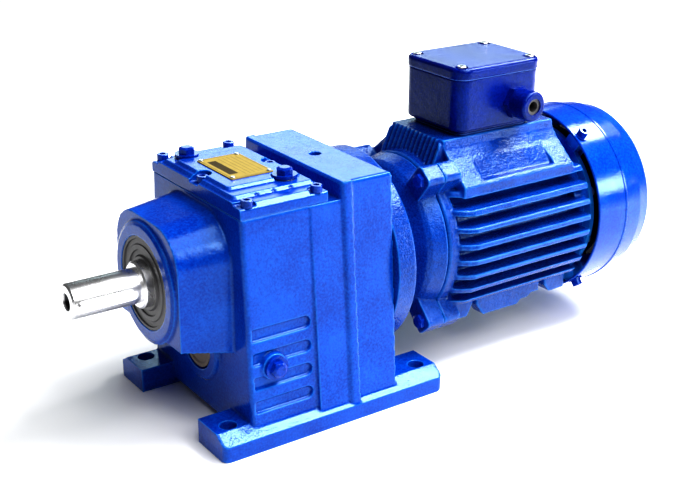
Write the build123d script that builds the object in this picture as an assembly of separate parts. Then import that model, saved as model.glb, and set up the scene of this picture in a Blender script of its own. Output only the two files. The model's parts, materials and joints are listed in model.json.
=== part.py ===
from build123d import *
import math
import os

os.makedirs("parts", exist_ok=True)

# Inline helical gear reducer with a flanged motor, foot mounted.
# X runs along the shafts: the output shaft points to -X, the motor sits at +X.
# The origin is the middle of the four foot holes, on the plane of the feet.

# ---------------------------------------------------------------- driving dimensions
OUT_Z = 130.0                 # height of the output shaft above the feet
PINION_TEETH = 15             # second stage: pinion on the lay shaft
OUTPUT_TEETH = 50
STAGE2_MODULE = 2.0
MOTOR_TEETH = 18              # first stage: pinion on the motor shaft
LAY_TEETH = 68
STAGE1_MODULE = 1.25
HELIX = math.radians(12)
PRESSURE = math.radians(20)
LAY_Z = OUT_Z - STAGE2_MODULE * (PINION_TEETH + OUTPUT_TEETH) / 2
MOTOR_Z = LAY_Z + STAGE1_MODULE * (MOTOR_TEETH + LAY_TEETH) / 2

FOOT_LENGTH = 226.0
FOOT_SPAN = 192.0             # overall width over both foot rails
RAIL_WIDTH = 44.5
RAIL_HEIGHT = 22.0
BOLT_X = 97.5                 # half of the 195 mm hole spacing along the shaft
BOLT_Y = 75.0                 # half of the 150 mm hole spacing across
BOLT_HOLE = 7.0

# stations along X, from the output shaft to the fan
SHAFT_END = -198.0
SHAFT_SHOULDER = -138.0
RING_FACE = -131.0
HUB_FACE = -127.0
WALL_FRONT = -81.0
CHAMBER_FRONT = -62.0
WEB_FRONT = -14.0
WEB_REAR = 4.0
SLAB_FRONT = 13.0
SLAB_REAR = 64.0
GASKET = 0.5
DISC_FRONT = SLAB_REAR + GASKET
DISC_REAR = 84.5
BELL_FRONT = 112.0
FRAME_FRONT = 132.0
FIN_FRONT = 143.0
FIN_REAR = 298.0
FRAME_REAR = 305.0
COWL_RIM = 304.0
COWL_STEP = 341.0
COWL_REAR = 386.0

# heights
CASE_BOTTOM = 6.5
CASE_TOP = 197.0
COVER_BOTTOM = CASE_TOP + GASKET
COVER_WALL = 209.0            # top of the cover's side wall
COVER_PAD = 206.5             # under the screw heads
COVER_STEP = 212.0
COVER_TOP = 214.5
SLAB_TOP = 212.0

# half widths of the drafted casting, at CASE_BOTTOM and at CASE_TOP
BODY_HALF = (88.6, 75.6)
STRIP_HALF = (92.5, 76.4)

SHAFT_R = 15.0
JOURNAL_R = 20.0
FRONT_BORE = 40.0
DISC_R = 91.0
SPIGOT_R = 70.0
FRAME_BORE = 65.0
FRAME_R = 70.0
COLLAR_R = 76.8
FIN_R = 88.0
COWL_R = 92.0
COWL_FACE = COWL_R - 0.8      # radius of the cowl's front part, between its rim and its bead
SHEET = 2.0
FIT = 0.05                    # radial clearance of screws and running fits
M5_TAP = 2.5                  # hole radii
M6_TAP = 3.0
M8_TAP = 4.0
PLUG_TAP = 6.0
BIG = 300.0                   # reaches past the whole unit, for cutting tools

EYE_X = (SLAB_FRONT + SLAB_REAR) / 2
EYE_R = 5.1                   # tapping drill of the M12 eye bolt
COVER_SCREWS = [(x, y) for x in (-72.4, -7.3) for y in (-70.9, 0.0, 70.9)]
PLUG_SEAT = 212.0
PLUG_BOSS_R = 11.5
PLUGS = ((-59.0, 52.0), (-18.5, -41.0))
OIL_X = -58.0                 # level plug on the near side, drain plug on the far side
LEVEL_Z = 69.0
DRAIN_Z = 36.0
FLANGE_PCD = 77.0
FLANGE_ANGLES = range(0, 360, 60)
EAR_R = 88.0
EAR_ANGLES = (36, 128, 226, 322)
COWL_ANGLES = (57, 123, 231, 309)
COWL_SCREW_X = 313.0
REAR_ANGLES = (20, 160, 200, 340)
REAR_SCREW_R = 71.0
REAR_FLANGE = 312.0           # rear face of the rear end shield
FIN_HEIGHTS = [MOTOR_Z + step * 7.5 for step in (-7, -5, -3, -1, 1, 3, 5, 7)]

PAD_Y = (41.0, 57.0)          # the motor's unused foot pads, on both sides
UPRIGHT_FIN_BOTTOM = 40.0

SEAT_Z = 214.0
SEAT_X = (148.0, 284.0)
SEAT_TOE = 140.0              # where the ribbed slope ahead of the seat starts
BOX_X = (165.0, 264.0)
BOX_HALF = 41.0
BOX_Z = (218.5, 266.0)
BOX_CORNER = 13.0
BOX_WALL = 4.0
BOX_FLOOR = BOX_Z[0] + 5
BLOCK_TOP = BOX_FLOOR + 12      # of the moulded terminal block
LID_Z = (BOX_Z[1] + 0.8, 277.0)
WIRE_WAY = ((196.0, 232.0), (-20.0, 20.0))
BOX_SCREWS = [(x, y) for x in (187, 242) for y in (-29, 29)]
GLAND_X = 233.0
GLAND_Z = 239.0
LID_SCREWS = [(x, y) for x in (BOX_X[0] + 9, BOX_X[1] - 9) for y in (-BOX_HALF + 9, BOX_HALF - 9)]
STUDS = [(x, y) for x in (181.0, 190.0) for y in (-15, 0, 15)]
RIVETS = [(x, y) for x in (-58.9, -24.3) for y in (-26.5, 26.5)]


# ---------------------------------------------------------------- building blocks
def block(x, y, z):
    """A box between (low, high) pairs."""
    size = [high - low for low, high in (x, y, z)]
    middle = [(low + high) / 2 for low, high in (x, y, z)]
    return Pos(*middle) * Box(*size)


def prism_x(x, section):
    """A (y, z) section pulled along X."""
    return extrude(Plane.YZ.offset(x[0]) * section, amount=x[1] - x[0], dir=(1, 0, 0))


def bar_x(x, radius, z, bore=0.0, y=0.0):
    """A round bar or ring along X."""
    ring = Circle(radius) - Circle(bore) if bore else Circle(radius)
    return prism_x(x, Pos(y, z) * ring)


def bar_y(y, radius, x, z, bore=0.0):
    """A round bar or ring along Y."""
    ring = Circle(radius) - Circle(bore) if bore else Circle(radius)
    return extrude(Plane.XZ.offset(-y[1]) * (Pos(x, z) * ring), amount=y[1] - y[0])


def bar_z(z, radius, x, y, bore=0.0):
    """A round bar or ring along Z."""
    ring = Circle(radius) - Circle(bore) if bore else Circle(radius)
    return extrude(Pos(x, y, z[0]) * ring, amount=z[1] - z[0])


def turned(points, z):
    """A solid of revolution about the X-parallel line at height z, from (x, radius) points."""
    profile = Plane.XZ * (Pos(0, z) * Polygon(*points, align=None))
    return revolve(profile, Axis((0, 0, z), (1, 0, 0)))


def trapezoid(bottom_half, top_half, bottom_z, top_z):
    """A drafted wall section, symmetric about the shaft plane."""
    return Polygon((-bottom_half, bottom_z), (bottom_half, bottom_z), (top_half, top_z),
                   (-top_half, top_z), align=None)


def side_at(halves, z):
    """Half width of a drafted wall at height z."""
    return halves[0] + (halves[1] - halves[0]) * (z - CASE_BOTTOM) / (CASE_TOP - CASE_BOTTOM)


def around(radius, angle, z):
    """The (y, z) point at an angle round an axis at height z."""
    turn = math.radians(angle)
    return radius * math.cos(turn), z + radius * math.sin(turn)


def ring_of_holes(hole_r, radius, angles, x):
    """Round cutting tools along X, on a circle round the motor axis."""
    places = [around(radius, angle, MOTOR_Z) for angle in angles]
    return [bar_x(x, hole_r, z, y=y) for y, z in places]


def hexagon(across_flats):
    return RegularPolygon(across_flats / 2, 6, major_radius=False)


def socket_screw(size, length):
    """Socket-head screw, head on z = 0 upwards, shank downwards."""
    head = chamfer(Cylinder(size * 0.83, size, align=(Align.CENTER, Align.CENTER, Align.MIN))
                   .edges().sort_by(Axis.Z)[-1], size * 0.08)
    head -= Pos(0, 0, size * 0.45) * extrude(hexagon(size * 0.83), amount=size)
    return head + bar_z((-length, 0), size / 2 - FIT, 0, 0)


def hex_head(across_flats, height):
    """A hexagon on z = 0 with its upper corners rounded off."""
    ball = across_flats * 0.9
    return extrude(hexagon(across_flats), amount=height) & Pos(0, 0, height - ball * 0.93) * Sphere(ball)


def hex_screw(size, length):
    """Hex-head screw, bearing face on z = 0."""
    return hex_head(size * 1.5, size * 0.65) + bar_z((-length, 0), size / 2 - FIT, 0, 0)


def group(parts):
    """Separate solids that share one node."""
    return Compound(children=[Solid(part.solids()[0].wrapped) for part in parts])


# ---------------------------------------------------------------- gears
def involute(angle):
    return math.tan(angle) - angle


def gear_outline(teeth, module, gap):
    """Transverse outline of an involute gear, first tooth on the local x axis, thinned by gap."""
    pitch = module * teeth / 2
    base = pitch * math.cos(PRESSURE)
    tip = pitch + 0.9 * module
    root = pitch - 1.2 * module
    half_tooth = (math.pi / 2 - gap / module) / teeth
    start = max(base, root)

    def flank(radius):
        return half_tooth + involute(PRESSURE) - involute(math.acos(min(1.0, base / radius)))

    def point(radius, angle):
        return radius * math.cos(angle), radius * math.sin(angle)

    radii = [start + (tip - start) * step / 3 for step in range(4)]
    foot = flank(start)
    pitch_angle = 2 * math.pi / teeth
    edges = []
    for tooth in range(teeth):
        centre = tooth * pitch_angle
        rising = [point(radius, centre - flank(radius)) for radius in radii]
        falling = [point(radius, centre + flank(radius)) for radius in reversed(radii)]
        if root < base:
            edges.append(Line(point(root, centre - foot), rising[0]))
        edges.append(Spline(*rising))
        edges.append(ThreePointArc(rising[-1], point(tip, centre), falling[0]))
        edges.append(Spline(*falling))
        if root < base:
            edges.append(Line(falling[-1], point(root, centre + foot)))
        edges.append(ThreePointArc(point(root, centre + foot), point(root, centre + pitch_angle / 2),
                                   point(root, centre + pitch_angle - foot)))
    return Face(Wire(edges))


def helical_gear(teeth, module, x, z, hand, tooth_angle):
    """A helical gear along X whose tooth stands at tooth_angle (degrees in YZ) at mid width."""
    width = x[1] - x[0]
    twist = math.degrees(width * math.tan(HELIX) / (module * teeth / 2)) * hand
    outline = gear_outline(teeth, module, 0.07 * module)
    blank = Solid.extrude_linear_with_rotation(outline, (0, 0, 0), (0, 0, width), twist)
    return Plane.YZ.offset(x[0]) * (Pos(0, z) * Rot(0, 0, tooth_angle - twist / 2) * blank)


# ---------------------------------------------------------------- rolling bearings
def ball_bearing(x, bore, outer, z, balls):
    """Outer ring, and the turning pieces: inner ring, cage and balls."""
    pitch = (bore + outer) / 2
    ball = 0.28 * (outer - bore)
    middle = (x[0] + x[1]) / 2
    groove = Pos(middle, 0, z) * Rot(0, 90, 0) * Torus(pitch, ball + FIT)
    outer_ring = bar_x(x, outer, z, bore=pitch + ball * 0.5) - groove
    inner_ring = bar_x(x, pitch - ball * 0.5, z, bore=bore) - groove
    width = (middle - ball * 0.8, middle + ball * 0.8)
    cage = bar_x(width, pitch + ball * 0.22, z, bore=pitch - ball * 0.22)
    turning = [inner_ring]
    for index in range(balls):
        y, height = around(pitch, index * 360 / balls, z)
        cage -= Pos(middle, y, height) * Sphere(ball + FIT)
        turning.append(Pos(middle, y, height) * Sphere(ball))
    turning.append(cage)
    return outer_ring, turning


FRONT_BEARING = ball_bearing((-116.5, -98.5), JOURNAL_R, FRONT_BORE, OUT_Z, 9)
REAR_BEARING = ball_bearing((-12.0, WEB_REAR), SHAFT_R, 31.0, OUT_Z, 9)
LAY_BEARINGS = [ball_bearing(x, 10.0, 23.5, LAY_Z, 8) for x in ((-78.0, -64.0), (-10.0, WEB_REAR))]
MOTOR_BEARINGS = [ball_bearing(x, 12.5, 26.0, MOTOR_Z, 9) for x in ((97.5, 112.5), (300.0, 315.0))]


# ---------------------------------------------------------------- gear case
def foot_rail(side):
    """One foot rail, with its outer top edge bevelled and its two bolt holes."""
    outer = side * FOOT_SPAN / 2
    inner = outer - side * RAIL_WIDTH
    section = Polygon((inner, 0), (outer, 0), (outer, RAIL_HEIGHT - 8), (outer - side * 13, RAIL_HEIGHT),
                      (inner, RAIL_HEIGHT), align=None)
    rail = prism_x((-FOOT_LENGTH / 2, FOOT_LENGTH / 2), section)
    corners = rail.edges().filter_by(Axis.Z).group_by(SortBy.LENGTH)[0]
    rail = fillet(corners, 5)
    for x in (-BOLT_X, BOLT_X):
        rail -= bar_z((-1, RAIL_HEIGHT + 1), BOLT_HOLE, x, side * BOLT_Y)
    return rail


def hub_section(half, bottom, top, corner):
    """Arch-shaped section of the output hub: round shoulders, nearly square feet."""
    shoulder = top - corner
    inset = corner * (1 - math.sqrt(0.5))
    outline = [
        Line((-half, bottom), (half, bottom)),
        Line((half, bottom), (half, shoulder)),
        ThreePointArc((half, shoulder), (half - inset, top - inset), (half - corner, top)),
        Line((half - corner, top), (corner - half, top)),
        ThreePointArc((corner - half, top), (inset - half, top - inset), (-half, shoulder)),
        Line((-half, shoulder), (-half, bottom)),
    ]
    return Face(Wire(outline))


def output_hub():
    """The nose of the case: a drafted arch, a round boss and the proud register ring."""
    front = Plane.YZ.offset(HUB_FACE) * hub_section(55.0, 87.0, 186.0, 34.0)
    rear = Plane.YZ.offset(WALL_FRONT + 2) * hub_section(61.0, 77.0, 193.0, 40.0)
    hub = loft([front, rear])
    boss = bar_x((HUB_FACE, WALL_FRONT + 2), 51.0, OUT_Z)
    ring = turned([(HUB_FACE - 1, 30), (RING_FACE, 30), (RING_FACE, 49), (RING_FACE + 1.2, 50.5),
                   (RING_FACE + 1.2, 52.5), (HUB_FACE, 52.5), (HUB_FACE, 50), (HUB_FACE + 1, 50),
                   (HUB_FACE + 1, 30)], OUT_Z)
    return hub + boss + ring


def side_grooves():
    """Four blind grooves, 3 mm deep, along each drafted side of the case."""
    length = (WALL_FRONT + 4, -21.0)
    slots = []
    for z in (99.0, 78.0, 57.0, 36.0):
        slot = Pos(sum(length) / 2, z) * SlotOverall(length[1] - length[0], 10.5)
        square_end = Pos(length[0] + 6, z) * Rectangle(12, 10.5)
        slots.append(extrude(Plane.XZ * (slot + square_end), amount=100, both=True))
    outside, inside = [trapezoid(BODY_HALF[0] + shift, BODY_HALF[1] + shift, CASE_BOTTOM, CASE_TOP)
                       for shift in (1, -3)]
    skin = prism_x((WALL_FRONT, SLAB_FRONT), outside) - prism_x((WALL_FRONT - 1, SLAB_FRONT + 1), inside)
    return skin & (slots[0] + slots[1:])


def slab():
    """The thick end wall that the motor bolts to, with the wider ridge round its front edge."""
    plate = prism_x((SLAB_FRONT + 1.5, SLAB_REAR), trapezoid(91.5, 76.8, 0, SLAB_TOP))
    plate = fillet(plate.faces().sort_by(Axis.Z)[-1].edges().sort_by(Axis.X)[1:], 3)
    ridge = prism_x((SLAB_FRONT, SLAB_FRONT + 10), trapezoid(FOOT_SPAN / 2, 78.0, 0, SLAB_TOP))
    ridge = chamfer(ridge.faces().sort_by(Axis.Z)[-1].edges().sort_by(Axis.X)[0], 2)
    ridge = fillet(ridge.faces().sort_by(Axis.X)[0].edges().filter_by(Axis.Y, reverse=True), 4.5)
    return plate + ridge


def case_shell():
    """The outside of the casting, before any boring."""
    body = prism_x((WALL_FRONT, SLAB_FRONT), trapezoid(*BODY_HALF, CASE_BOTTOM, CASE_TOP))
    front_corners = body.faces().sort_by(Axis.X)[0].edges().filter_by(Axis.Y, reverse=True)
    body = fillet(front_corners, 4)
    body -= side_grooves()
    body += prism_x((-16.5, SLAB_FRONT), trapezoid(*STRIP_HALF, CASE_BOTTOM, CASE_TOP))
    body += [slab(), foot_rail(1), foot_rail(-1), output_hub()]
    body += turned([(WALL_FRONT - 4, 25), (WALL_FRONT - 4, 33), (WALL_FRONT - 2, 35), (WALL_FRONT + 6, 35.5),
                    (WALL_FRONT + 6, 25)], LAY_Z)
    for side, z in ((-1, LEVEL_Z), (1, DRAIN_Z)):
        reach = sorted((side * 70.0, side * (side_at(BODY_HALF, z) + 2)))
        body += bar_y(reach, PLUG_BOSS_R, OIL_X, z)
    return body


def gear_housing():
    """The cast gear case: shell, two chambers, bearing seats and tapped holes."""
    case = case_shell()
    rail_inner = FOOT_SPAN / 2 - RAIL_WIDTH
    case -= block((WALL_FRONT - 1, SLAB_REAR + 1), (-rail_inner, rail_inner), (-1, CASE_BOTTOM))
    case -= prism_x((CHAMBER_FRONT, WEB_FRONT), trapezoid(76.0, 63.0, 14.0, CASE_TOP + 1))
    case -= bar_x((WEB_REAR, SLAB_REAR + 1), SPIGOT_R, MOTOR_Z)
    case -= bar_x((WEB_REAR, SLAB_REAR - 12), 47.0, LAY_Z)
    case -= bar_x((RING_FACE - 1, -98.5), FRONT_BORE, OUT_Z)
    case -= bar_x((-119.3, -117.2), FRONT_BORE + 1.6, OUT_Z)
    case -= bar_x((-99, CHAMBER_FRONT + 1), 36.0, OUT_Z)
    case -= bar_x((-12.0, WEB_REAR + 1), 31.0, OUT_Z)
    case -= bar_x((WEB_FRONT - 1, -12.0), 27.0, OUT_Z)
    case -= bar_x((WALL_FRONT - 5, -64.0), 23.5, LAY_Z)
    case -= bar_x((-64.0, CHAMBER_FRONT + 1), 20.0, LAY_Z)
    case -= bar_x((-10.0, WEB_REAR + 1), 23.5, LAY_Z)
    case -= bar_x((WEB_FRONT - 1, -10.0), 20.0, LAY_Z)
    case -= [bar_z((CASE_TOP - 18, CASE_TOP + 1), M6_TAP, x, y) for x, y in COVER_SCREWS]
    case -= ring_of_holes(M8_TAP, FLANGE_PCD, FLANGE_ANGLES, (SLAB_REAR - 11, SLAB_REAR + 1))
    case -= bar_z((SLAB_TOP - 18, SLAB_TOP + 1), EYE_R, EYE_X, 0)
    case -= bar_y((-BIG, -60), PLUG_TAP, OIL_X, LEVEL_Z)
    case -= bar_y((60, BIG), PLUG_TAP, OIL_X, DRAIN_Z)
    return case


def top_cover():
    """Inspection cover: side wall, stepped crown and six screw pads."""
    length = (WALL_FRONT, 1.5)
    cover = prism_x(length, trapezoid(BODY_HALF[1], 74.9, COVER_BOTTOM, COVER_WALL))
    long_edges = cover.faces().sort_by(Axis.Z)[-1].edges().filter_by(Axis.X)
    cover = chamfer(long_edges, 4)
    steps = ((COVER_WALL, COVER_STEP, 60.0, 1.5), (COVER_STEP, COVER_TOP, 45.0, 6.0))
    for low, high, half, inset in steps:
        step = block((length[0] + inset, length[1] - inset), (-half, half), (low - 1, high))
        step = fillet(step.edges().filter_by(Axis.Z), 5)
        cover += chamfer(step.faces().sort_by(Axis.Z)[-1].edges(), high - low - 0.2)
    for x, y in COVER_SCREWS:
        cover -= bar_z((COVER_PAD, COVER_TOP + 5), 7.5, x, y)
        if y:
            outward = sorted((y, y * 1.3))
            cover -= block((x - 7.5, x + 7.5), outward, (COVER_PAD, COVER_TOP + 5))
        end = length[0] if x < -40 else length[1]
        cover -= block(sorted((x, end + math.copysign(1, end - x))), (y - 7.5, y + 7.5),
                       (COVER_PAD, COVER_TOP + 5))
        cover -= bar_z((COVER_BOTTOM - 1, COVER_PAD + 1), M6_TAP, x, y)
    for x in (-56.0, -40.0, -24.0):
        for y in (-60.5, 60.5):
            cover -= bar_z((COVER_WALL + 0.1, COVER_TOP + 1), 2.4, x, y)
    cover -= block((CHAMBER_FRONT, WEB_FRONT), (-61, 61), (COVER_BOTTOM - 1, 203.0))
    for x, y in PLUGS:
        cover += bar_z((PLUG_SEAT - 7, PLUG_SEAT), PLUG_BOSS_R, x, y)
        cover -= bar_z((PLUG_SEAT, COVER_TOP + 1), PLUG_BOSS_R, x, y)
        cover -= bar_z((PLUG_SEAT - 10, PLUG_SEAT + 1), PLUG_TAP, x, y)
    return cover


def cover_gasket():
    gasket = block((WALL_FRONT + 0.5, 1.5), (-75.1, 75.1), (CASE_TOP, COVER_BOTTOM))
    gasket -= block((CHAMBER_FRONT, WEB_FRONT), (-62, 62), (CASE_TOP - 1, COVER_BOTTOM + 1))
    return gasket - [bar_z((CASE_TOP - 1, COVER_BOTTOM + 1), 3.2, x, y) for x, y in COVER_SCREWS]


def plug(x, y, z, direction):
    """Oil plug, a round flange with a small hexagon on it, and its sealing washer."""
    thick = 1.2
    flange = thick + 2.5
    body = bar_z((thick, flange), 10.4, 0, 0) + Pos(0, 0, flange - 1) * hex_head(13.0, 6.8)
    body += bar_z((-9.8, flange), PLUG_TAP - FIT, 0, 0)
    washer = bar_z((0, thick), 8.6, 0, 0, bore=PLUG_TAP + FIT)
    turn = {"up": Rot(0, 0, 0), "near": Rot(90, 0, 0), "far": Rot(-90, 0, 0)}[direction]
    place = Pos(x, y, z) * turn
    return place * body, place * washer


# ---------------------------------------------------------------- turning bodies
def key_x(x, width, side_y, shaft_r, depth, height, z):
    """A round-ended parallel key lying along X on the side of a shaft."""
    slot = SlotOverall(x[1] - x[0], width)
    y = sorted((side_y * (shaft_r - depth), side_y * (shaft_r - depth + height)))
    return extrude(Plane.XZ.offset(-y[1]) * (Pos(sum(x) / 2, z) * slot), amount=y[1] - y[0])


OUTPUT_KEY = key_x((-194.0, -144.0), 8.0, -1, SHAFT_R, 4.0, 7.0, OUT_Z)
OUTPUT_GEAR_KEY = key_x((-54.0, -26.0), 10.0, -1, 18.0, 5.0, 8.0, OUT_Z)
LAY_GEAR_KEY = key_x((22.0, 40.0), 6.0, -1, 9.0, 3.5, 6.0, LAY_Z)


def output_shaft():
    shaft = turned([(SHAFT_END, 0), (SHAFT_END, SHAFT_R - 1.5), (SHAFT_END + 1.5, SHAFT_R),
                    (SHAFT_SHOULDER, SHAFT_R), (SHAFT_SHOULDER, JOURNAL_R - 1.5),
                    (SHAFT_SHOULDER + 1.5, JOURNAL_R), (-98.5, JOURNAL_R), (-98.5, 24), (-56, 24), (-56, 18),
                    (-22.5, 18), (-22.5, SHAFT_R), (6, SHAFT_R), (6, 0)], OUT_Z)
    centre_hole = bar_x((SHAFT_END - 1, SHAFT_END + 22), 4.25, OUT_Z)
    countersink = turned([(SHAFT_END - 1, 0), (SHAFT_END - 1, 7.6), (SHAFT_END, 7.6),
                          (SHAFT_END + 5.6, 4.2), (SHAFT_END + 5.6, 0)], OUT_Z)
    return shaft - centre_hole - countersink - OUTPUT_KEY - OUTPUT_GEAR_KEY


def output_gear():
    gear = helical_gear(OUTPUT_TEETH, STAGE2_MODULE, (-56, -22), OUT_Z, -1, -90 + 180 / OUTPUT_TEETH)
    for x in ((-57, -47), (-31, -21)):
        gear -= bar_x(x, 41, OUT_Z, bore=28)
    return gear - bar_x((-57, -21), 18, OUT_Z) - OUTPUT_GEAR_KEY


def lay_pinion_shaft():
    shaft = turned([(-79, 0), (-79, 9), (-78, 10), (-64, 10), (-64, 12), (-10, 12), (-10, 10), (5, 10),
                    (5, 9), (44, 9), (44, 0)], LAY_Z)
    pinion = helical_gear(PINION_TEETH, STAGE2_MODULE, (-58, -20), LAY_Z, 1, 90)
    return shaft + pinion - LAY_GEAR_KEY


def lay_gear():
    gear = helical_gear(LAY_TEETH, STAGE1_MODULE, (21, 41), LAY_Z, 1, 90 + 180 / LAY_TEETH)
    for x in ((20, 26), (36, 42)):
        gear -= bar_x(x, 34, LAY_Z, bore=17)
    gear += bar_x((5.5, 21), 13, LAY_Z)
    return gear - bar_x((5, 42), 9, LAY_Z) - LAY_GEAR_KEY


def rotor_shaft():
    return turned([(18, 0), (18, 6), (47, 6), (47, 12.5), (112.5, 12.5), (112.5, 15), (150, 15), (150, 17),
                   (282, 17), (282, 15), (300, 15), (300, 12.5), (317, 12.5), (317, 9), (362, 9), (362, 0)],
                  MOTOR_Z)


def motor_pinion():
    pinion = helical_gear(MOTOR_TEETH, STAGE1_MODULE, (19, 43), MOTOR_Z, -1, -90)
    pinion += bar_x((43, 47), 9.5, MOTOR_Z)
    return pinion - bar_x((18, 48), 6, MOTOR_Z)


def rotor_core():
    """Laminated rotor with cast end rings."""
    return turned([(168, 17), (168, 30), (176, 34), (176, 39.6), (264, 39.6), (264, 34), (272, 30),
                   (272, 17)], MOTOR_Z)


def fan():
    """Radial-blade fan on the free end of the motor shaft."""
    hub = turned([(322, 9), (322, 17), (330, 18), (330, 70), (333, 70), (333, 18), (352, 16),
                  (352, 9)], MOTOR_Z)
    for angle in range(0, 360, 45):
        blade = block((332, 354), (15, 72), (MOTOR_Z - 1.25, MOTOR_Z + 1.25))
        hub += blade.rotate(Axis((0, 0, MOTOR_Z), (1, 0, 0)), angle)
    return hub


# ---------------------------------------------------------------- small housings and seals
def output_oil_seal():
    face = RING_FACE + 0.6
    lip = JOURNAL_R + 2 * FIT
    return turned([(face + 10, FRONT_BORE), (face, FRONT_BORE), (face, 37.6), (face + 1.2, 37),
                   (face + 1.2, 33.2), (face + 0.4, 32.4), (face + 0.4, 28.4), (face + 1.6, 27.6),
                   (face + 1.6, 24), (face, 22.6), (face, lip), (face + 9, lip), (face + 9, 23),
                   (face + 4, 25), (face + 4, 36), (face + 10, 36)], OUT_Z)


def hub_circlip():
    ring = bar_x((-119.2, -117.2), FRONT_BORE + 1.5, OUT_Z, bore=36.2)
    return ring - block((-120, -116), (-7, 7), (OUT_Z - 50, OUT_Z - 30))


def lay_bore_cap():
    return turned([(-83, 0), (-83, 19), (-84, 20.5), (-84, 23.5), (-79.2, 23.5), (-79.2, 20.5), (-80.5, 19),
                   (-80.5, 0)], LAY_Z)


def input_oil_seal():
    lip = 12.5 + 2 * FIT
    return turned([(58.2, 21), (58.2, 15), (59.5, lip), (63, lip), (63, 14.5), (60.5, 16), (60.5, 19),
                   (65, 19), (65, 21)], MOTOR_Z)


def nameplate():
    plate = block((-61.7, -21.5), (-29.5, 29.5), (COVER_TOP, COVER_TOP + 0.8))
    plate = fillet(plate.edges().filter_by(Axis.Z), 1.5)
    return plate - [bar_z((COVER_TOP - 1, COVER_TOP + 2), 1.3, x, y) for x, y in RIVETS]


def rivet(x, y):
    head = Pos(x, y, COVER_TOP + 0.8) * (Sphere(2.1) & Pos(0, 0, 0.6) * Box(5, 5, 1.2))
    return head + bar_z((COVER_TOP, COVER_TOP + 0.9), 1.25, x, y)


# ---------------------------------------------------------------- motor
def ear(x, angle, inner, outer, width):
    """A fastening ear standing out from the motor axis at an angle."""
    tab = block(x, (inner, outer), (-width / 2, width / 2))
    outer_edges = tab.faces().sort_by(Axis.Y)[-1].edges().filter_by(Axis.X)
    tab = fillet(outer_edges, 5)
    return (Pos(0, 0, MOTOR_Z) * tab).rotate(Axis((0, 0, MOTOR_Z), (1, 0, 0)), angle)


def flange_end_shield():
    """Gear-side end shield: disc on the gear case, neck, and bell with four ears."""
    seam = FRAME_FRONT - 0.6
    disc = [(58, 21), (58, SPIGOT_R), (DISC_FRONT, SPIGOT_R), (DISC_FRONT, DISC_R), (DISC_REAR - 2, DISC_R),
            (DISC_REAR, DISC_R - 2), (DISC_REAR, 64), (DISC_REAR + 4, 60)]
    bell = [(102, 57), (106, 60), (BELL_FRONT, 69), (BELL_FRONT + 4, 72), (seam - 1.4, COLLAR_R - 0.6),
            (seam, COLLAR_R - 2), (seam, FRAME_BORE), (FRAME_FRONT + 4, FRAME_BORE), (FRAME_FRONT + 4, 61)]
    inside = [(117, 61), (114, 50), (114, 26), (97.5, 26), (97.5, 20), (65, 20), (65, 21)]
    shield = turned(disc + bell + inside, MOTOR_Z)
    shield += [ear((BELL_FRONT + 1, seam), angle, 66, EAR_R + 10, 21) for angle in EAR_ANGLES]
    shield -= ring_of_holes(M8_TAP, EAR_R, EAR_ANGLES, (BELL_FRONT, FRAME_FRONT))
    return shield - ring_of_holes(M8_TAP, FLANGE_PCD, FLANGE_ANGLES, (DISC_FRONT - 1, DISC_REAR + 1))


def flange_gasket():
    gasket = bar_x((SLAB_REAR, DISC_FRONT), 82, MOTOR_Z, bore=SPIGOT_R)
    gasket &= prism_x((SLAB_REAR, DISC_FRONT), trapezoid(91.0, 76.3, 0, SLAB_TOP))
    return gasket - ring_of_holes(M8_TAP, FLANGE_PCD, FLANGE_ANGLES, (SLAB_REAR - 1, DISC_FRONT + 1))


def fins():
    """Cooling fins: level shelves on both sides, upright ones below, inside a rounded envelope."""
    length = (FIN_FRONT - 4, FIN_REAR)
    shelves = [block(length, (-FIN_R, FIN_R), (z - 2.5, z + 2.5)) for z in FIN_HEIGHTS]
    upright = [block(length, (y - 2, y + 2), (UPRIGHT_FIN_BOTTOM, MOTOR_Z)) for y in range(-30, 31, 15)]
    envelope = turned([(FIN_FRONT - 4, 0), (FIN_FRONT - 4, COLLAR_R - 1), (FIN_FRONT, COLLAR_R + 4),
                       (FIN_FRONT + 6, FIN_R - 3), (FIN_FRONT + 14, FIN_R), (FIN_REAR - 2, FIN_R),
                       (FIN_REAR, FIN_R - 2), (FIN_REAR, 0)], MOTOR_Z)
    return envelope & (shelves[0] + shelves[1:] + upright)


def pedestal():
    """The roof-shaped seat that carries the terminal box, with a sunk panel on each side."""
    half = BOX_HALF - 3
    section = Polygon((-half, SEAT_Z), (-half - 2, 206), (-half - 9, 198), (-71, 178), (-71, 168), (71, 168),
                      (71, 178), (half + 9, 198), (half + 2, 206), (half, SEAT_Z), align=None)
    roof = prism_x((SEAT_X[0] + 3, SEAT_X[1]), section)
    slope = Polygon((-80, 176), (-66, 176), (-half - 12, 195.5), (-half - 12, 202), align=None)
    for side in (slope, mirror(slope, Plane.YZ)):
        roof -= prism_x((176, 262), side) & prism_x((176, 262), Pos(0, 189) * Rectangle(160, 17))
    return roof + ribbed_slope(half)


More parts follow.
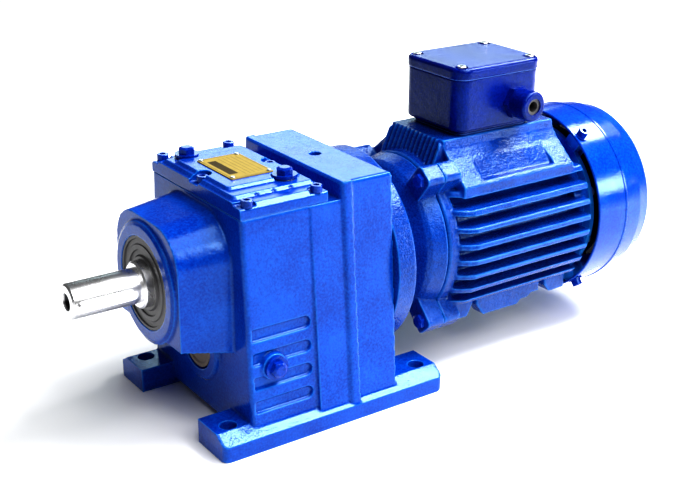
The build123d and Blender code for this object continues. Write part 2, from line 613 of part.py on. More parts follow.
def ribbed_slope(half):
    """The steep front of the seat: narrow ribs that climb from the collar to the seat's edge."""
    edge = (SEAT_X[0], SEAT_Z - 2)
    toe = (SEAT_TOE, SEAT_Z - 20)
    start = FRAME_FRONT + 3
    corner = Polygon((-half, 150), (half, 150), (half, SEAT_Z - 5), (half - 5, SEAT_Z), (5 - half, SEAT_Z),
                     (-half, SEAT_Z - 5), align=None)
    front = prism_x((start, SEAT_X[0] + 4), corner)
    outline = Polygon((start - 20, toe[1] - 12.5), (toe[0] - 5, toe[1] - 12.5), edge, (edge[0] + 2, SEAT_Z),
                      (edge[0] + 2, SEAT_Z + 10), (start - 20, SEAT_Z + 10), align=None)
    ahead = extrude(Plane.XZ * outline, amount=BIG, both=True)
    front -= ahead
    grooves = [block((start, BIG), (y - 1.7, y + 1.7), (0, BIG)) for y in range(-33, 34, 6)]
    return front - (Pos(1.8, 0, 0) * ahead & (grooves[0] + grooves[1:]))


def foot_pads():
    """The three cast pads on each side of the frame's underside."""
    top = 90.0
    front = ((150, 42.5), (173, 42.5), (179, 54), (179, top), (150, top))
    middle = ((193, 39.3), (236, 39.3), (241, 43.3), (250, 43.3), (254, 47), (264, 47), (264, top),
              (184, top), (184, 52))
    rear = ((278, 42.8), (298, 42.8), (298, top), (268, top), (272, 50))
    pads = [extrude(Plane.XZ.offset(-PAD_Y[1]) * Polygon(*outline, align=None), amount=PAD_Y[1] - PAD_Y[0])
            for outline in (front, middle, rear)]
    return pads + [mirror(pad, Plane.XZ) for pad in pads]


def motor_frame():
    """Finned stator frame with front ears, foot bosses and the terminal box seat."""
    frame = bar_x((FRAME_FRONT, FRAME_REAR), FRAME_R, MOTOR_Z)
    frame += turned([(FRAME_FRONT, 0), (FRAME_FRONT, COLLAR_R - 1.5), (FRAME_FRONT + 1.5, COLLAR_R),
                     (FIN_FRONT, COLLAR_R), (FIN_FRONT + 6, FRAME_R), (FIN_FRONT + 6, 0)], MOTOR_Z)
    frame += [fins(), pedestal()]
    frame += [ear((FRAME_FRONT, 150), angle, 66, EAR_R + 10, 21) for angle in EAR_ANGLES]
    frame += foot_pads()
    frame += ring_of_holes(8, REAR_SCREW_R, REAR_ANGLES, (286, FRAME_REAR))
    frame -= ring_of_holes(M6_TAP, REAR_SCREW_R, REAR_ANGLES, (290, FRAME_REAR + 1))
    frame -= bar_x((FRAME_FRONT - 1, FRAME_REAR + 1), FRAME_BORE, MOTOR_Z)
    frame -= block(*WIRE_WAY, (MOTOR_Z + 50, SEAT_Z + 1))
    frame -= ring_of_holes(M8_TAP, EAR_R, EAR_ANGLES, (FRAME_FRONT - 1, 148))
    return frame - [bar_z((SEAT_Z - 12, SEAT_Z + 1), M5_TAP, x, y) for x, y in BOX_SCREWS]


def stator_core():
    return bar_x((175, 265), FRAME_BORE, MOTOR_Z, bore=40.0)


def stator_winding():
    """The two end bundles of the winding."""
    bundle = [(0, 43), (4, 41.5), (17, 41.5), (21, 44), (21, 57), (17, 60), (4, 60), (0, 57)]
    front = turned([(175 - x, radius) for x, radius in bundle], MOTOR_Z)
    rear = turned([(265 + x, radius) for x, radius in bundle], MOTOR_Z)
    return front, rear


def rear_end_shield():
    inner = COWL_R - SHEET
    shield = turned([(299, FRAME_BORE), (299, 60), (FRAME_REAR, 60), (FRAME_REAR, 36), (298, 34), (298, 26),
                     (315, 26), (315, 14), (320, 14), (320, 34), (REAR_FLANGE, 40), (REAR_FLANGE, 70),
                     (REAR_FLANGE - 2, 78), (FRAME_REAR, 78), (FRAME_REAR, FRAME_BORE)], MOTOR_Z)
    inside = bar_x((FRAME_REAR, 330), inner, MOTOR_Z)
    shield += [ear((FRAME_REAR + 1, 321), angle, 60, inner, 16) & inside for angle in COWL_ANGLES]
    shield -= ring_of_holes(M6_TAP, REAR_SCREW_R, REAR_ANGLES, (FRAME_REAR - 1, 330))
    screw_hole = bar_z((COWL_R - 16, COWL_R), M6_TAP, COWL_SCREW_X, 0)
    return shield - [radial(screw_hole, angle) for angle in COWL_ANGLES]


def radial(shape, angle):
    """Turns a shape built upwards from the origin's level to stand out from the motor axis."""
    return (Pos(0, 0, MOTOR_Z) * shape).rotate(Axis((0, 0, MOTOR_Z), (1, 0, 0)), angle - 90)


def fan_cowl():
    """Sheet-metal cowl: rolled rim, pressed bead at the step, rounded shoulder and slotted rear face."""
    inner = COWL_R - SHEET
    outside = [(COWL_RIM, inner), (COWL_RIM, COWL_FACE), (COWL_RIM + 0.7, COWL_R), (COWL_RIM + 2, COWL_R),
               (COWL_RIM + 2.7, COWL_FACE), (COWL_STEP - 1.6, COWL_FACE), (COWL_STEP - 0.6, COWL_R),
               (COWL_STEP + 0.8, COWL_R), (COWL_STEP + 1.8, COWL_R - 0.6), (362, COWL_R - 2.6),
               (376, COWL_R - 6),
               (COWL_REAR - 3, COWL_R - 11), (COWL_REAR, COWL_R - 17), (COWL_REAR, 0)]
    inside = [(COWL_REAR - SHEET, 0), (COWL_REAR - SHEET, COWL_R - 18), (COWL_REAR - 5, COWL_R - 13),
              (375, COWL_R - 8), (361, COWL_R - 4.7), (COWL_STEP, inner - 1.1), (COWL_STEP - 1, inner)]
    cowl = turned(outside + inside, MOTOR_Z)
    through = (COWL_REAR - 5, COWL_REAR + 1)
    slots = [bar_x(through, radius + 4, MOTOR_Z, bore=radius) for radius in range(16, 68, 7)]
    spoke = block(through, (-75, 75), (MOTOR_Z - 3, MOTOR_Z + 3))
    spokes = [spoke.rotate(Axis((0, 0, MOTOR_Z), (1, 0, 0)), angle) for angle in (30, 90, 150)]
    cowl -= (slots[0] + slots[1:]) - spokes
    screw_hole = bar_z((COWL_R - 6, COWL_R + 1), M6_TAP + 0.1, COWL_SCREW_X, 0)
    return cowl - [radial(screw_hole, angle) for angle in COWL_ANGLES]


# ---------------------------------------------------------------- terminal box
def box_slice(inset, z, corner):
    """A round-cornered block with the terminal box's outline, drawn in by an inset."""
    x = (BOX_X[0] + inset, BOX_X[1] - inset)
    half = BOX_HALF - inset
    return fillet(block(x, (-half, half), z).edges().filter_by(Axis.Z), corner)


def terminal_box():
    box = box_slice(0, BOX_Z, BOX_CORNER)
    box = fillet(box.faces().sort_by(Axis.Z)[0].edges(), 2.5)
    box += box_slice(6, (SEAT_Z + 1, BOX_FLOOR), 9)
    box -= box_slice(BOX_WALL, (BOX_FLOOR, BOX_Z[1] + 1), 9)
    box += [bar_z((BOX_FLOOR, BOX_Z[1]), 6, x, y) for x, y in LID_SCREWS]
    box -= [bar_z((BOX_Z[1] - 14, BOX_Z[1] + 1), M5_TAP, x, y) for x, y in LID_SCREWS]
    box -= block(*WIRE_WAY, (SEAT_Z, BOX_FLOOR + 1))
    box -= bar_y((-BOX_HALF - 1, -BOX_HALF + 5), 10.0, GLAND_X, GLAND_Z)
    return box - [bar_z((SEAT_Z, BOX_FLOOR + 1), M5_TAP, x, y) for x, y in BOX_SCREWS]


def terminal_lid():
    lid = box_slice(-1, LID_Z, BOX_CORNER + 1)
    lid = fillet(lid.faces().sort_by(Axis.Z)[-1].edges(), 4)
    lid -= box_slice(16, (BOX_Z[1], LID_Z[1] - 5), BOX_WALL)
    lid -= [bar_z((BOX_Z[1], LID_Z[1] + 1), M5_TAP, x, y) for x, y in LID_SCREWS]
    return lid - [bar_z((LID_Z[1] - 4, LID_Z[1] + 1), 5.5, x, y) for x, y in LID_SCREWS]


def lid_gasket():
    gasket = box_slice(0, (BOX_Z[1], LID_Z[0]), BOX_CORNER)
    gasket -= box_slice(BOX_WALL + 0.5, (BOX_Z[1] - 1, LID_Z[0] + 1), 8)
    return gasket - [bar_z((BOX_Z[1] - 1, LID_Z[0] + 1), M5_TAP + 0.1, x, y) for x, y in LID_SCREWS]


def box_gasket():
    gasket = box_slice(7, (SEAT_Z, SEAT_Z + 1), 8)
    gasket -= block(*WIRE_WAY, (SEAT_Z - 1, SEAT_Z + 2))
    return gasket - [bar_z((SEAT_Z - 1, SEAT_Z + 2), M5_TAP + 0.1, x, y) for x, y in BOX_SCREWS]


def terminal_block():
    """Moulded block that carries the six studs, with ribs between the phases."""
    x = (176, 195)
    base = block(x, (-24, 24), (BOX_FLOOR, BLOCK_TOP))
    return base + [block(x, (y - 1, y + 1), (BLOCK_TOP, BLOCK_TOP + 5)) for y in (-22.5, -7.5, 7.5, 22.5)]


def terminal_stud(x, y):
    stud = bar_z((BLOCK_TOP, BLOCK_TOP + 14), 2.0, x, y)
    return stud + Pos(x, y, BLOCK_TOP) * extrude(hexagon(7), amount=3.2)


def cable_gland():
    """Gland body: thread in the box wall, hexagon, and the neck under the cap."""
    face = -BOX_HALF
    gland = bar_y((face - 9, face + 8), 10.0 - FIT, GLAND_X, GLAND_Z)
    gland += extrude(Plane.XZ.offset(-face) * (Pos(GLAND_X, GLAND_Z) * hexagon(27)), amount=6)
    gland += bar_y((face - 12, face - 6), 11.0, GLAND_X, GLAND_Z)
    return gland - bar_y((face - 13, face + 9), 7.0, GLAND_X, GLAND_Z)


def gland_cap():
    face = -BOX_HALF
    cap = bar_y((face - 25, face - 6.4), 14.0, GLAND_X, GLAND_Z)
    cap = fillet(cap.faces().sort_by(Axis.Y)[0].edges(), 3)
    cap -= bar_y((face - 12.2, face - 6), 11.1, GLAND_X, GLAND_Z)
    return cap - bar_y((face - 26, face - 12), 7.6, GLAND_X, GLAND_Z)


def gland_seal():
    face = -BOX_HALF
    return bar_y((face - 23.5, face - 12.2), 7.6, GLAND_X, GLAND_Z, bore=5.0)


# ---------------------------------------------------------------- fasteners on the motor side
def along_x(shape, x, y, z, facing):
    """Places an upright fastener so that its head faces +X or -X."""
    return Pos(x, y, z) * Rot(0, 90 * facing, 0) * shape


def ring_of_screws(screw, radius, angles, x, facing):
    return [along_x(screw, x, *around(radius, angle, MOTOR_Z), facing) for angle in angles]


def up_screws(screw, places, z):
    return [Pos(x, y, z) * screw for x, y in places]


# ---------------------------------------------------------------- the nodes
breather, washer_a = plug(*PLUGS[0], PLUG_SEAT, "up")
filler, washer_b = plug(*PLUGS[1], PLUG_SEAT, "up")
level, washer_c = plug(OIL_X, -side_at(BODY_HALF, LEVEL_Z) - 2, LEVEL_Z, "near")
drain, washer_d = plug(OIL_X, side_at(BODY_HALF, DRAIN_Z) + 2, DRAIN_Z, "far")
cowl_screw = Pos(COWL_SCREW_X, 0, COWL_FACE + 1.2) * socket_screw(6, 14)
cowl_screw += bar_z((COWL_FACE, COWL_FACE + 1.3), 7.0, COWL_SCREW_X, 0)

nodes = {
    "gear_housing": gear_housing(),
    "top_cover": top_cover(),
    "cover_gasket": cover_gasket(),
    "cover_screws": group(up_screws(socket_screw(6, 20), COVER_SCREWS, COVER_PAD)),
    "breather_plug": breather,
    "filler_plug": filler,
    "oil_level_plug": level,
    "drain_plug": drain,
    "plug_washers": group([washer_a, washer_b, washer_c, washer_d]),
    "nameplate": nameplate(),
    "nameplate_rivets": group([rivet(x, y) for x, y in RIVETS]),
    "output_oil_seal": output_oil_seal(),
    "hub_circlip": hub_circlip(),
    "lay_bore_cap": lay_bore_cap(),
    "output_front_bearing_outer": FRONT_BEARING[0],
    "output_rear_bearing_outer": REAR_BEARING[0],
    "lay_bearing_outers": group([bearing[0] for bearing in LAY_BEARINGS]),
    "motor_bearing_outers": group([bearing[0] for bearing in MOTOR_BEARINGS]),
    "output_shaft": output_shaft(),
    "output_shaft_key": OUTPUT_KEY,
    "output_gear": output_gear(),
    "output_gear_key": OUTPUT_GEAR_KEY,
    "output_spacer_sleeve": bar_x((-22, -12), 20, OUT_Z, bore=SHAFT_R),
    "output_front_bearing_inner": group(FRONT_BEARING[1]),
    "output_rear_bearing_inner": group(REAR_BEARING[1]),
    "lay_pinion_shaft": lay_pinion_shaft(),
    "lay_gear": lay_gear(),
    "lay_gear_key": LAY_GEAR_KEY,
    "lay_bearing_inners": group(LAY_BEARINGS[0][1] + LAY_BEARINGS[1][1]),
    "rotor_shaft": rotor_shaft(),
    "motor_pinion": motor_pinion(),
    "rotor_core": rotor_core(),
    "motor_bearing_inners": group(MOTOR_BEARINGS[0][1] + MOTOR_BEARINGS[1][1]),
    "cooling_fan": fan(),
    "flange_gasket": flange_gasket(),
    "flange_end_shield": flange_end_shield(),
    "flange_screws": group(ring_of_screws(hex_screw(8, 30), FLANGE_PCD, FLANGE_ANGLES, DISC_REAR, 1)),
    "input_oil_seal": input_oil_seal(),
    "shield_bolts": group(ring_of_screws(hex_screw(8, 32), EAR_R, EAR_ANGLES, BELL_FRONT + 1, -1)),
    "motor_frame": motor_frame(),
    "stator_core": stator_core(),
    "stator_winding": group(stator_winding()),
    "rear_end_shield": rear_end_shield(),
    "rear_shield_screws": group(ring_of_screws(hex_screw(6, 18), REAR_SCREW_R, REAR_ANGLES, REAR_FLANGE, 1)),
    "fan_cowl": fan_cowl(),
    "cowl_screws": group([radial(cowl_screw, angle) for angle in COWL_ANGLES]),
    "terminal_box": terminal_box(),
    "terminal_box_gasket": box_gasket(),
    "terminal_box_screws": group(up_screws(socket_screw(5, 16), BOX_SCREWS, BOX_FLOOR)),
    "terminal_lid": terminal_lid(),
    "terminal_lid_gasket": lid_gasket(),
    "terminal_lid_screws": group(up_screws(socket_screw(5, 16), LID_SCREWS, LID_Z[1] - 4)),
    "terminal_block": terminal_block(),
    "terminal_studs": group([terminal_stud(x, y) for x, y in STUDS]),
    "cable_gland": cable_gland(),
    "gland_cap": gland_cap(),
    "gland_seal": gland_seal(),
}

for name, shape in nodes.items():
    export_step(shape, f"parts/{name}.step")
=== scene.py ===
import json
import math

import bmesh
import bpy
from mathutils import Matrix, Vector


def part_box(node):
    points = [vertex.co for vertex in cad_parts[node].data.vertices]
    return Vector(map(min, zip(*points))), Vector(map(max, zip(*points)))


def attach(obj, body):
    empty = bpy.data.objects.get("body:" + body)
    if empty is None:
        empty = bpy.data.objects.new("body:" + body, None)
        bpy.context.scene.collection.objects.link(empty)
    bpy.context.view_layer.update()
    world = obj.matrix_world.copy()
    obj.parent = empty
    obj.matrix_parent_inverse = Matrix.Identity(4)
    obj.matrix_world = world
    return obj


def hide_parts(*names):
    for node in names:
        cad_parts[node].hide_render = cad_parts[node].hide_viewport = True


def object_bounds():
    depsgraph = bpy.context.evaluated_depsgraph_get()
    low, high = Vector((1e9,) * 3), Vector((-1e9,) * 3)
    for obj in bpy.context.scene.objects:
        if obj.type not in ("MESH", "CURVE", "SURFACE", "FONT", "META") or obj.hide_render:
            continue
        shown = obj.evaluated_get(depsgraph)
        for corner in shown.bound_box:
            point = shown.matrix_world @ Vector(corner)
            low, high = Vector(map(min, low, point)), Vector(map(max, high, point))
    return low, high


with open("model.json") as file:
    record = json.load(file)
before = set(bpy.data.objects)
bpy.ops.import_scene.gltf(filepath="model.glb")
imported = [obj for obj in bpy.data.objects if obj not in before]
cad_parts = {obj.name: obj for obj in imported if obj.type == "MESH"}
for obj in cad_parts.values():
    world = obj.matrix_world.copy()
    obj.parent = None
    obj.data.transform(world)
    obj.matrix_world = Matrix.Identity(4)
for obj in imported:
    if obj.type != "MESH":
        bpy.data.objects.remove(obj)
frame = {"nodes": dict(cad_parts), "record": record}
nodes = frame["nodes"]
cad_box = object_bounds()

# ---------------------------------------------------------------- driving values, metres
CAMERA_PLACE = Vector((-0.530, -0.857, 0.537))
CAMERA_BACK = Vector((-0.5358, -0.7567, 0.3746))
CAMERA_ROLL = math.radians(0.54)
CAMERA_LENS = 63.6            # millimetres, as is the sensor
SENSOR_WIDTH = 36.0

FLOOR_HALF = 25.0
FLOOR_DROP = 0.0002           # keeps the floor just under the feet
SKY = 0.10                    # the backdrop as a fill light
BACKDROP = 0.95               # the backdrop as the camera sees it
SUN = 2.3
SUN_FROM = (0.1, -0.9, 1.6)
SUN_SPREAD = math.radians(50)

PANEL_HEIGHT = 1.35
CEILING_PANELS = {            # name: x from and to, y from and to, watts
    "front_panel": ((0.40, 1.15), (-0.62, -0.15), 31),
    "rear_panel": ((1.20, 1.80), (-0.20, 0.28), 32),
}
UNIT_MIDDLE = Vector((0.05, 0.0, 0.12))
WHITE_LIGHT = (1.0, 1.0, 1.0)
SKY_LIGHT = (0.72, 0.95, 1.0)
SOFTBOXES = {                 # name: direction, distance, width and height, watts, colour
    "lamp": ((0.76, -0.60, 0.20), 1.5, (0.28, 0.28), 5, WHITE_LIGHT),
    "shaft_light": ((0.14, -0.80, 0.56), 1.2, (0.2, 0.4), 2.5, WHITE_LIGHT),
    "behind": ((0.54, 0.76, 0.41), 1.6, (0.9, 0.42), 3.2, SKY_LIGHT),
}

OUTPUT_AXIS_HEIGHT = 0.130
CENTRE_HOLE_RADIUS = 0.0076
PLATE_BLOCK = ((0.12, 0.32), (0.19, 0.84))            # shares of the plate's length and width
PLATE_ROWS = ((0.40, 0.90), (0.10, 0.90))
PLATE_BORDER_OUTSIDE = ((0.03, 0.97), (0.02, 0.98))
PLATE_BORDER_INSIDE = ((0.055, 0.945), (0.037, 0.963))
PLATE_ROW_PITCH = 62.0        # radians over the plate's length


# ---------------------------------------------------------------- camera, floor and light
def make_camera():
    data = bpy.data.cameras.new("camera")
    data.lens = CAMERA_LENS
    data.sensor_width = SENSOR_WIDTH
    camera = bpy.data.objects.new("camera", data)
    back = CAMERA_BACK.normalized()
    right = Vector((0, 0, 1)).cross(back).normalized()
    up = back.cross(right)
    across = math.cos(CAMERA_ROLL) * right + math.sin(CAMERA_ROLL) * up
    above = math.cos(CAMERA_ROLL) * up - math.sin(CAMERA_ROLL) * right
    turn = Matrix((across, above, back)).transposed()
    camera.matrix_world = Matrix.Translation(CAMERA_PLACE) @ turn.to_4x4()
    bpy.context.scene.collection.objects.link(camera)
    bpy.context.scene.camera = camera


def make_floor():
    mesh = bpy.data.meshes.new("floor")
    corners = [(-FLOOR_HALF, -FLOOR_HALF, 0), (FLOOR_HALF, -FLOOR_HALF, 0),
               (FLOOR_HALF, FLOOR_HALF, 0), (-FLOOR_HALF, FLOOR_HALF, 0)]
    mesh.from_pydata(corners, [], [(0, 1, 2, 3)])
    floor = bpy.data.objects.new("floor", mesh)
    bpy.context.scene.collection.objects.link(floor)
    floor.location.z = cad_box[0][2] - FLOOR_DROP
    mesh.materials.append(floor_material())


def add_light(data, place, target=None):
    """Put a light at a place, turned to its target, or level when it has none."""
    light = bpy.data.objects.new(data.name, data)
    light.location = place
    if target is not None:
        light.rotation_euler = (Vector(target) - Vector(place)).to_track_quat("-Z", "Y").to_euler()
    light.visible_camera = False
    bpy.context.scene.collection.objects.link(light)


def rectangle_light(name, size, power, tint):
    data = bpy.data.lights.new(name, "AREA")
    data.shape = "RECTANGLE"
    data.size, data.size_y = size
    data.energy = power
    data.color = tint
    return data


def ceiling_panel(name, x, y, power):
    """A level rectangular light over the unit, between (low, high) pairs."""
    data = rectangle_light(name, (x[1] - x[0], y[1] - y[0]), power, WHITE_LIGHT)
    add_light(data, (sum(x) / 2, sum(y) / 2, PANEL_HEIGHT))


def softbox(name, direction, distance, size, power, tint):
    """A rectangular studio light that faces the middle of the unit from a direction."""
    place = UNIT_MIDDLE + distance * Vector(direction).normalized()
    add_light(rectangle_light(name, size, power, tint), place, UNIT_MIDDLE)


def make_world():
    """A white backdrop that gives only a weak fill light."""
    world = bpy.data.worlds.new("studio")
    world.use_nodes = True
    tree = world.node_tree
    background = tree.nodes["Background"]
    background.inputs["Color"].default_value = (1.0, 1.0, 1.0, 1.0)
    rays = tree.nodes.new("ShaderNodeLightPath")
    strength = tree.nodes.new("ShaderNodeMapRange")
    strength.inputs["To Min"].default_value = SKY
    strength.inputs["To Max"].default_value = BACKDROP
    tree.links.new(rays.outputs["Is Camera Ray"], strength.inputs["Value"])
    tree.links.new(strength.outputs["Result"], background.inputs["Strength"])
    bpy.context.scene.world = world


def make_light():
    make_world()
    sun = bpy.data.lights.new("sun", "SUN")
    sun.energy = SUN
    sun.angle = SUN_SPREAD
    add_light(sun, SUN_FROM, (0, 0, 0))
    for name, (x, y, power) in CEILING_PANELS.items():
        ceiling_panel(name, x, y, power)
    for name, values in SOFTBOXES.items():
        softbox(name, *values)
    view = bpy.context.scene.view_settings
    view.view_transform = "Standard"
    view.look = "High Contrast"


# ---------------------------------------------------------------- material helpers
class Shade:
    """A small builder for one procedural material."""

    def __init__(self, name):
        self.material = bpy.data.materials.new(name)
        self.material.use_nodes = True
        self.tree = self.material.node_tree
        self.shader = self.tree.nodes["Principled BSDF"]
        coords = self.tree.nodes.new("ShaderNodeTexCoord")
        self.place = coords.outputs["Object"]

    def node(self, kind, **inputs):
        made = self.tree.nodes.new(kind)
        for key, value in inputs.items():
            self.put(made.inputs[key.replace("_", " ")], value)
        return made

    def put(self, socket, value):
        if isinstance(value, bpy.types.NodeSocket):
            self.tree.links.new(value, socket)
        else:
            socket.default_value = value

    def stretched(self, scale):
        mapping = self.node("ShaderNodeMapping", Vector=self.place)
        mapping.inputs["Scale"].default_value = scale
        return mapping.outputs["Vector"]

    def noise(self, scale, detail=2.0, place=None, rough=0.5):
        made = self.node("ShaderNodeTexNoise", Vector=place or self.place, Scale=scale, Detail=detail,
                         Roughness=rough)
        return made.outputs["Fac"]

    def ramp(self, value, low, high, low_to=0.0, high_to=1.0):
        made = self.node("ShaderNodeMapRange", Value=value)
        made.inputs["From Min"].default_value = low
        made.inputs["From Max"].default_value = high
        made.inputs["To Min"].default_value = low_to
        made.inputs["To Max"].default_value = high_to
        return made.outputs["Result"]

    def maths(self, operation, first, second):
        made = self.tree.nodes.new("ShaderNodeMath")
        made.operation = operation
        self.put(made.inputs[0], first)
        self.put(made.inputs[1], second)
        return made.outputs["Value"]

    def mix(self, share, first, second):
        made = self.tree.nodes.new("ShaderNodeMix")
        made.data_type = "RGBA"
        self.put(made.inputs["Factor"], share)
        self.put(made.inputs["A"], first)
        self.put(made.inputs["B"], second)
        return made.outputs["Result"]

    def bump(self, height, strength, distance, normal=None):
        made = self.node("ShaderNodeBump", Height=height, Strength=strength, Distance=distance)
        if normal is not None:
            self.put(made.inputs["Normal"], normal)
        return made.outputs["Normal"]

    def set(self, **inputs):
        for key, value in inputs.items():
            self.put(self.shader.inputs[key.replace("_", " ")], value)

    def specular(self, level, tint=(1.0, 1.0, 1.0, 1.0)):
        self.shader.inputs["Specular IOR Level"].default_value = level
        self.shader.inputs["Specular Tint"].default_value = tint


def colour(red, green, blue):
    return (red, green, blue, 1.0)


# ---------------------------------------------------------------- materials
PATCH_SCALE = 22.0            # noise scales, cells per metre
SPECK_SCALE = 480.0
DIMPLE_SCALE = 120.0
PEEL_SCALE = 620.0
GLOSS_SCALE = 70.0
DIMPLE_DEPTH = 0.0004         # metres
PEEL_DEPTH = 0.00038
METAL_SHADE = 0.82            # the darker patches of bare metal against its tint
TURNED_LINES = (3000.0, 30.0, 30.0)

DEEP_BLUE = colour(0.0008, 0.025, 0.25)
BRIGHT_BLUE = colour(0.0015, 0.062, 0.42)
# painted highlight for convex edges and painted shade for hollows
PAINTED_EDGE_HIGHLIGHT_BLUE = colour(0.02, 0.22, 0.70)
PAINTED_HOLLOW_SHADE_BLUE = colour(0.0002, 0.006, 0.10)
BLUE_GLOSS = colour(0.35, 0.65, 1.0)
BRASS_DARK = colour(0.21, 0.155, 0.032)
BRASS_LIGHT = colour(0.33, 0.25, 0.066)
BRASS_INK = colour(0.020, 0.013, 0.006)


def floor_material():
    shade = Shade("floor")
    tone = shade.mix(shade.noise(3.0), colour(0.80, 0.80, 0.805), colour(0.82, 0.82, 0.82))
    shade.set(Base_Color=tone, Roughness=0.6)
    return shade.material


def enamel(name, grain, painted_edges_and_hollows=False, gloss=0.5, deep=DEEP_BLUE, bright=BRIGHT_BLUE):
    """Glossy blue machine enamel: patchy tone, an orange-peel skin and, if asked, a painted highlight on
    convex edges and painted shade in hollows.
    """
    shade = Shade(name)
    patches = shade.maths("ADD", shade.noise(PATCH_SCALE, 5.0), shade.noise(SPECK_SCALE, 2.0))
    tone = shade.mix(shade.ramp(patches, 0.75, 1.25), deep, bright)
    # painted highlight on convex edges and painted shade in hollows, both read from the mesh's pointiness
    if painted_edges_and_hollows:
        edges = shade.tree.nodes.new("ShaderNodeNewGeometry").outputs["Pointiness"]
        tone = shade.mix(shade.ramp(edges, 0.51, 0.60), tone, PAINTED_EDGE_HIGHLIGHT_BLUE)
        tone = shade.mix(shade.ramp(edges, 0.49, 0.42), tone, PAINTED_HOLLOW_SHADE_BLUE)
    normal = shade.bump(shade.noise(DIMPLE_SCALE), grain, DIMPLE_DEPTH)
    normal = shade.bump(shade.noise(PEEL_SCALE, 3.0), grain, PEEL_DEPTH, normal)
    roughness = shade.ramp(shade.noise(GLOSS_SCALE, 3.0), 0.3, 0.7, 0.08, 0.18)
    shade.set(Base_Color=tone, Roughness=roughness, Normal=normal)
    shade.specular(gloss, BLUE_GLOSS)
    return shade.material


def bare_metal(name, dark, tint, gloss, lines=TURNED_LINES, strength=0.15, painted_hole_shade=False):
    """Metal with fine lines round the shaft axis and faint patches between two tints and roughnesses."""
    shade = Shade(name)
    streaks = shade.noise(1.0, 2.0, shade.stretched(lines))
    patches = shade.noise(45.0, 3.0)
    tone = shade.mix(patches, colour(*dark), colour(*tint))
    if painted_hole_shade:
        # painted shade: near-black inside the centre hole
        tone = shade.mix(centre_hole_shade_mask(shade), tone, colour(0.03, 0.03, 0.033))
    shade.set(Base_Color=tone, Metallic=1.0, Roughness=shade.ramp(patches, 0.2, 0.8, *gloss),
              Normal=shade.bump(streaks, strength, 0.0002))
    return shade.material


def metal(name, tint, roughness, **surface):
    """Bare metal from one tint and one roughness."""
    dark = [value * METAL_SHADE for value in tint]
    return bare_metal(name, dark, tint, (roughness * 0.8, roughness * 1.25), **surface)


def centre_hole_shade_mask(shade):
    """One inside the centre hole of the output shaft, which is painted near-black as shade, and nought
    outside it.
    """
    place = shade.node("ShaderNodeSeparateXYZ", Vector=shade.place).outputs
    across = shade.maths("POWER", place["Y"], 2.0)
    above = shade.maths("POWER", shade.maths("SUBTRACT", place["Z"], OUTPUT_AXIS_HEIGHT), 2.0)
    radius = shade.maths("SQRT", shade.maths("ADD", across, above), 0.0)
    return shade.ramp(radius, CENTRE_HOLE_RADIUS * 0.85, CENTRE_HOLE_RADIUS, 1.0, 0.0)


def brass_plate():
    """Thin printed brass: a dark border line, one plain dark block and faint ruled rows, no words."""
    shade = Shade("brass_plate")
    place = shade.node("ShaderNodeSeparateXYZ", Vector=shade.place).outputs
    low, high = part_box("nameplate")
    along = shade.ramp(place["X"], low[0], high[0])
    across = shade.ramp(place["Y"], low[1], high[1])

    def inside(value, start, end):
        return shade.maths("MULTIPLY", shade.maths("GREATER_THAN", value, start),
                           shade.maths("LESS_THAN", value, end))

    def window(x, y):
        return shade.maths("MULTIPLY", inside(along, *x), inside(across, *y))

    patches = shade.noise(140.0, 4.0)
    border = shade.maths("SUBTRACT", window(*PLATE_BORDER_OUTSIDE), window(*PLATE_BORDER_INSIDE))
    wave = shade.maths("SINE", shade.maths("MULTIPLY", along, PLATE_ROW_PITCH), 0.0)
    rows = shade.maths("MULTIPLY", shade.maths("GREATER_THAN", wave, 0.72), window(*PLATE_ROWS))
    lines = shade.maths("MAXIMUM", shade.maths("MULTIPLY", rows, 0.35), shade.maths("MULTIPLY", border, 0.5))
    block = shade.maths("MULTIPLY", window(*PLATE_BLOCK), 0.92)
    brass = shade.mix(patches, BRASS_DARK, BRASS_LIGHT)
    shade.set(Base_Color=shade.mix(shade.maths("MAXIMUM", lines, block), brass, BRASS_INK),
              Roughness=shade.ramp(patches, 0.2, 0.8, 0.60, 0.72),
              Normal=shade.bump(shade.noise(900.0, 2.0), 0.08, 0.0002))
    shade.specular(0.15)
    return shade.material


def dull(name, first, second, roughness, scale=120.0, strength=0.2):
    """Matt rubber, plastic, paper or raw casting with a mottled skin."""
    shade = Shade(name)
    patches = shade.noise(scale, 4.0, rough=0.6)
    grain = shade.noise(scale * 6, 2.0)
    shade.set(Base_Color=shade.mix(patches, colour(*first), colour(*second)),
              Roughness=shade.ramp(grain, 0.2, 0.8, roughness * 0.85, roughness),
              Normal=shade.bump(grain, strength, 0.0004))
    return shade.material


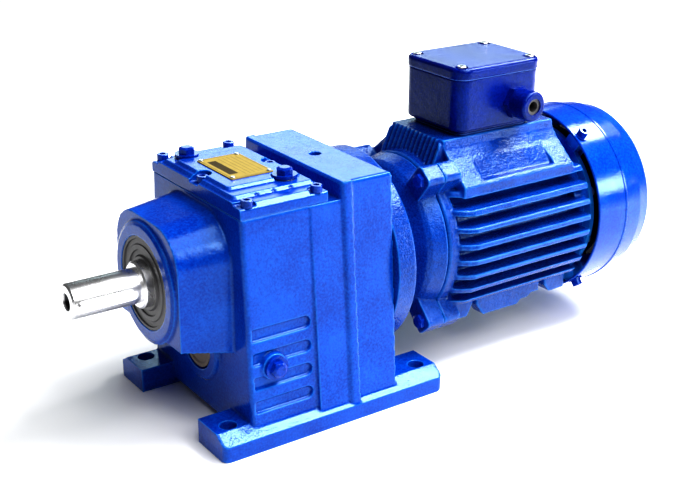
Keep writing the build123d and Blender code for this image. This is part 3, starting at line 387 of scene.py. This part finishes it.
MATERIALS = {
    "blue_enamel": enamel("blue_enamel", 0.4, painted_edges_and_hollows=True),
    "rough_enamel": enamel("rough_enamel", 1.4, painted_edges_and_hollows=True, deep=colour(0.0006, 0.018, 0.17),
                           bright=colour(0.0012, 0.048, 0.32)),
    "sheet_enamel": enamel("sheet_enamel", 0.25),
    # painted shade: a darker copy of the blue enamel for the terminal box, its lid and the gland
    "shaded_box_enamel": enamel("shaded_box_enamel", 0.8, gloss=0.3, deep=colour(0.0002, 0.004, 0.09),
                         bright=colour(0.0004, 0.011, 0.19)),
    "blue_fasteners": enamel("blue_fasteners", 0.3, deep=colour(0.0003, 0.012, 0.16),
                             bright=colour(0.0008, 0.035, 0.36)),
    "shaft_steel": bare_metal("shaft_steel", (0.78, 0.78, 0.79), (0.93, 0.93, 0.94), (0.22, 0.34),
                              painted_hole_shade=True),
    "ground_steel": metal("ground_steel", (0.93, 0.93, 0.94), 0.28),
    "gear_steel": metal("gear_steel", (0.42, 0.42, 0.44), 0.35),
    "bearing_steel": metal("bearing_steel", (0.75, 0.75, 0.78), 0.15),
    "zinc_steel": metal("zinc_steel", (0.62, 0.62, 0.60), 0.3, lines=(400.0, 400.0, 400.0)),
    "raw_casting": dull("raw_casting", (0.10, 0.075, 0.055), (0.20, 0.16, 0.13), 0.6),
    "nitrile_rubber": dull("nitrile_rubber", (0.035, 0.035, 0.037), (0.085, 0.082, 0.085), 0.45),
    "gasket_paper": dull("gasket_paper", (0.01, 0.08, 0.40), (0.04, 0.16, 0.60), 0.5),
    "brass_plate": brass_plate(),
    "lamination_steel": metal("lamination_steel", (0.35, 0.35, 0.37), 0.45, lines=(2000.0, 5.0, 5.0),
                              strength=0.5),
    "copper_winding": metal("copper_winding", (0.62, 0.25, 0.12), 0.35, lines=(60.0, 600.0, 600.0),
                            strength=0.6),
    "rotor_aluminium": metal("rotor_aluminium", (0.66, 0.67, 0.70), 0.4),
    "black_moulding": dull("black_moulding", (0.010, 0.010, 0.011), (0.02, 0.02, 0.02), 0.45),
    "stud_brass": metal("stud_brass", (0.78, 0.58, 0.26), 0.25),
}


# ---------------------------------------------------------------- pieces
def dress(piece, material):
    piece.data.materials.clear()
    piece.data.materials.append(material)


def add_modifier(piece, kind, **settings):
    modifier = piece.modifiers.new(kind.lower(), kind)
    for key, value in settings.items():
        setattr(modifier, key, value)


def finished_mesh(piece):
    """The mesh with its modifiers applied, as new mesh data."""
    graph = bpy.context.evaluated_depsgraph_get()
    return bpy.data.meshes.new_from_object(piece.evaluated_get(graph))


def foundry_noise():
    """The cloud pattern behind the ripple of every casting."""
    texture = bpy.data.textures.new("foundry", "CLOUDS")
    texture.noise_scale = 0.009
    texture.noise_depth = 2
    return texture


def cast_piece(node, material, voxel, rounding, ripple):
    """A casting: the CAD shape with its edges smoothed round and the faint ripple of a sand mould."""
    mesh = nodes[node].data.copy()
    made = bmesh.new()
    made.from_mesh(mesh)
    bmesh.ops.remove_doubles(made, verts=made.verts, dist=1e-6)
    made.to_mesh(mesh)
    made.free()
    piece = bpy.data.objects.new(node + "_casting", mesh)
    bpy.context.scene.collection.objects.link(piece)
    add_modifier(piece, "REMESH", mode="VOXEL", voxel_size=voxel)
    add_modifier(piece, "SMOOTH", factor=0.5, iterations=rounding)
    add_modifier(piece, "DISPLACE", texture=FOUNDRY, strength=ripple, mid_level=0.5)
    piece.data = finished_mesh(piece)
    piece.modifiers.clear()
    low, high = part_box(node)
    for vertex in piece.data.vertices:
        vertex.co = [min(max(value, least), most) for value, least, most in zip(vertex.co, low, high)]
    piece.data.shade_smooth()
    dress(piece, MATERIALS[material])
    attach(piece, "root")
    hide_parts(node)


FOUNDRY = foundry_noise()
CASTINGS = {                  # node: material, voxel, smoothing passes, ripple
    "gear_housing": ("blue_enamel", 0.0010, 1, 0.0002),
    "top_cover": ("blue_enamel", 0.0006, 1, 0.0001),
    "flange_end_shield": ("rough_enamel", 0.0009, 2, 0.0003),
    "motor_frame": ("rough_enamel", 0.0011, 2, 0.0004),
    "terminal_box": ("shaded_box_enamel", 0.0008, 2, 0.0002),
    "terminal_lid": ("shaded_box_enamel", 0.0008, 2, 0.0002),
}
FINISHES = {"output_shaft": "shaft_steel", "fan_cowl": "sheet_enamel", "cable_gland": "shaded_box_enamel",
            "gland_cap": "shaded_box_enamel"}


def dress_cad_nodes():
    slots = {part["node"]: part["material_slot"] for part in frame["record"]["subparts"]}
    for name, node in nodes.items():
        if name not in CASTINGS:
            dress(node, MATERIALS[FINISHES.get(name, slots[name])])


make_camera()
make_floor()
make_light()
for casting, values in CASTINGS.items():
    cast_piece(casting, *values)
dress_cad_nodes()
